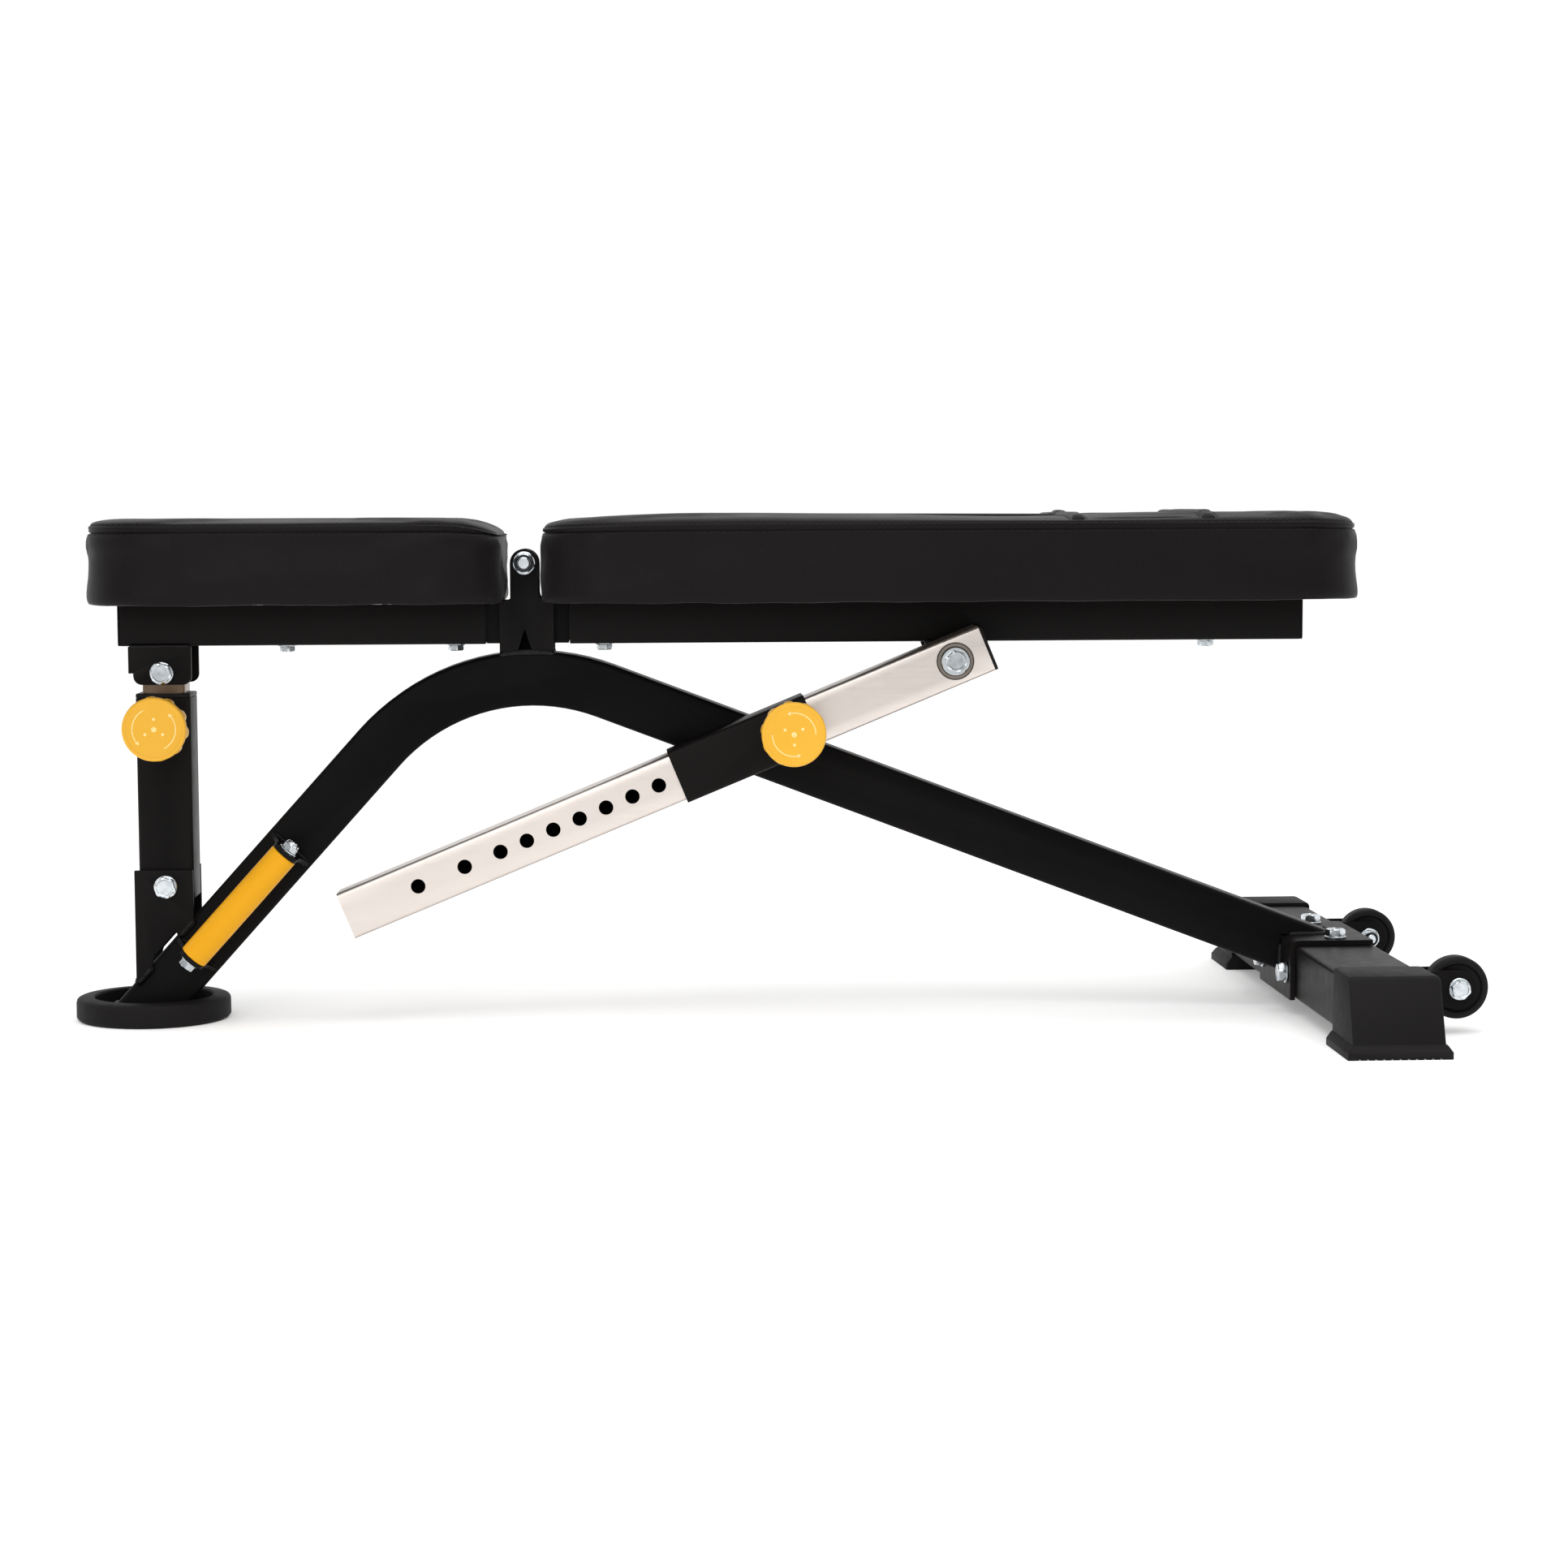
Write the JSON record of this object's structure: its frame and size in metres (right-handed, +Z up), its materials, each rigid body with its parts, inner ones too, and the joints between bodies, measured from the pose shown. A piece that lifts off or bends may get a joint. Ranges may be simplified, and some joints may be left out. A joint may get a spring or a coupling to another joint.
{
  "type": "adjustable weight bench",
  "caption": "Padded bench on a bent steel frame, with a tilting seat, a folding back rest, a pin-locked strut and post, carry grip and transport wheels.",
  "frame": {"origin": "on the floor, under the middle of the bench's bounding box", "axes": "+X along the bench from the seat to the wheels, +Y to the side away from the strut and knobs, +Z up"},
  "size_m": [1.2789, 0.634, 0.4655],
  "materials": {
    "black_steel": "satin black powder coat with a fine texture",
    "black_plastic": "matte moulded",
    "rubber": "matte moulded",
    "zinc": "bright zinc plating",
    "chrome": "polished chrome plating",
    "yellow": "satin moulded",
    "yellow_grip": "satin moulded",
    "upholstery": "vinyl-coated fabric with a fine leather grain, soft sheen",
    "plywood": "raw plywood"
  },
  "bodies": {
    "frame": {"main_tube": "black_steel", "foot_plate": "black_steel", "foot_ring": "rubber", "post_bracket_near": "black_steel", "post_bracket_far": "black_steel", "post_bolt": "zinc", "hinge_plate_near": "black_steel", "hinge_plate_far": "black_steel", "hinge_bolt": "zinc", "hinge_bush": "zinc", "handle_flange_lower": "black_steel", "handle_flange_upper": "black_steel", "handle_grip": "yellow_grip", "handle_bolt": "zinc", "cross_tube": "black_steel", "rear_angle_plate": "black_steel", "rear_bolt_top_near": "zinc", "rear_bolt_top_far": "zinc", "rear_bolt_front_near": "zinc", "rear_bolt_front_far": "zinc", "end_cap_near": "rubber", "end_cap_far": "rubber", "wheel_bracket_near": "black_steel", "wheel_bracket_far": "black_steel", "wheel_bolt_near": "zinc", "wheel_bolt_far": "zinc", "sleeve_pivot": "zinc"},
    "seat": {"seat_frame": "black_steel", "seat_frame_plug": "black_plastic", "seat_ear_near": "black_steel", "seat_ear_far": "black_steel", "seat_board": "plywood", "seat_pad": "upholstery", "seat_clevis": "black_steel", "clevis_bolt": "zinc"},
    "back": {"back_frame": "black_steel", "back_frame_plug": "black_plastic", "back_ear_near": "black_steel", "back_ear_far": "black_steel", "back_board": "plywood", "back_pad": "upholstery", "strut_hanger_near": "black_steel", "strut_hanger_far": "black_steel", "strut_bolt": "zinc"},
    "post_outer": {"post_outer": "black_steel", "post_collar": "black_plastic", "post_pin_housing": "black_steel"},
    "post_inner": {"post_inner": "chrome"},
    "post_pin": {"post_pin": "zinc"},
    "post_knob": {"post_knob": "yellow"},
    "strut": {"strut": "chrome", "strut_bush": "chrome", "strut_plug_upper": "black_plastic", "strut_plug_lower": "black_plastic"},
    "sleeve": {"sleeve": "black_steel", "strut_pin_housing": "black_steel"},
    "strut_pin": {"strut_pin": "zinc"},
    "strut_knob": {"strut_knob": "yellow"},
    "wheel_near": {"wheel_near": "rubber"},
    "wheel_far": {"wheel_far": "rubber"}
  },
  "joints": [
    {"name": "seat_angle", "type": "hinge", "parent": "frame", "child": "seat", "pos_m": [-0.22, 0, 0.4212], "axis": [0, 1, 0], "range_deg": [0, 15]},
    {"name": "back_angle", "type": "hinge", "parent": "frame", "child": "back", "pos_m": [-0.22, 0, 0.4212], "axis": [0, -1, 0], "range_deg": [0, 85]},
    {"name": "post_tilt", "type": "hinge", "parent": "frame", "child": "post_outer", "pos_m": [-0.5516, 0, 0.1258], "axis": [0, -1, 0], "range_deg": [0, 2.86]},
    {"name": "post_extend", "type": "slide", "parent": "post_outer", "child": "post_inner", "axis": [0, 0, 1], "range_m": [0, 0.0898]},
    {"name": "post_pin_pull", "type": "slide", "parent": "post_outer", "child": "post_pin", "axis": [0, -1, 0], "range_m": [0, 0.01], "stiffness_N_per_m": 600, "springref_m": -0.003},
    {"name": "post_knob_turn", "type": "hinge", "parent": "post_pin", "child": "post_knob", "pos_m": [-0.5516, -0.025, 0.2744], "axis": [0, -1, 0], "range_deg": [0, 180]},
    {"name": "strut_turn", "type": "hinge", "parent": "back", "child": "strut", "pos_m": [0.1725, -0.0535, 0.3308], "axis": [0, -1, 0], "range_deg": [-9.18, 0]},
    {"name": "sleeve_slide", "type": "slide", "parent": "strut", "child": "sleeve", "axis": [-0.9249, 0, -0.3803], "range_m": [0, 0.3528]},
    {"name": "strut_pin_pull", "type": "slide", "parent": "sleeve", "child": "strut_pin", "axis": [0, -1, 0], "range_m": [0, 0.01], "stiffness_N_per_m": 600, "springref_m": -0.003},
    {"name": "strut_knob_turn", "type": "hinge", "parent": "strut_pin", "child": "strut_knob", "pos_m": [0.02193, -0.0785, 0.26889], "axis": [0, -1, 0], "range_deg": [0, 180]},
    {"name": "wheel_near_spin", "type": "hinge", "parent": "frame", "child": "wheel_near", "pos_m": [0.6115, -0.1725, 0.041], "axis": [0, 1, 0], "continuous": true},
    {"name": "wheel_far_spin", "type": "hinge", "parent": "frame", "child": "wheel_far", "pos_m": [0.6115, 0.1725, 0.041], "axis": [0, 1, 0], "continuous": true}
  ],
  "couplings": [
    {"joint": "post_tilt", "follows": "seat_angle", "ratio": 0.19019},
    {"joint": "post_extend", "follows": "seat_angle", "m_per_rad": 0.34203},
    {"joint": "strut_turn", "follows": "back_angle", "ratio": -0.10783},
    {"joint": "sleeve_slide", "follows": "back_angle", "m_per_rad": 0.23767}
  ]
}
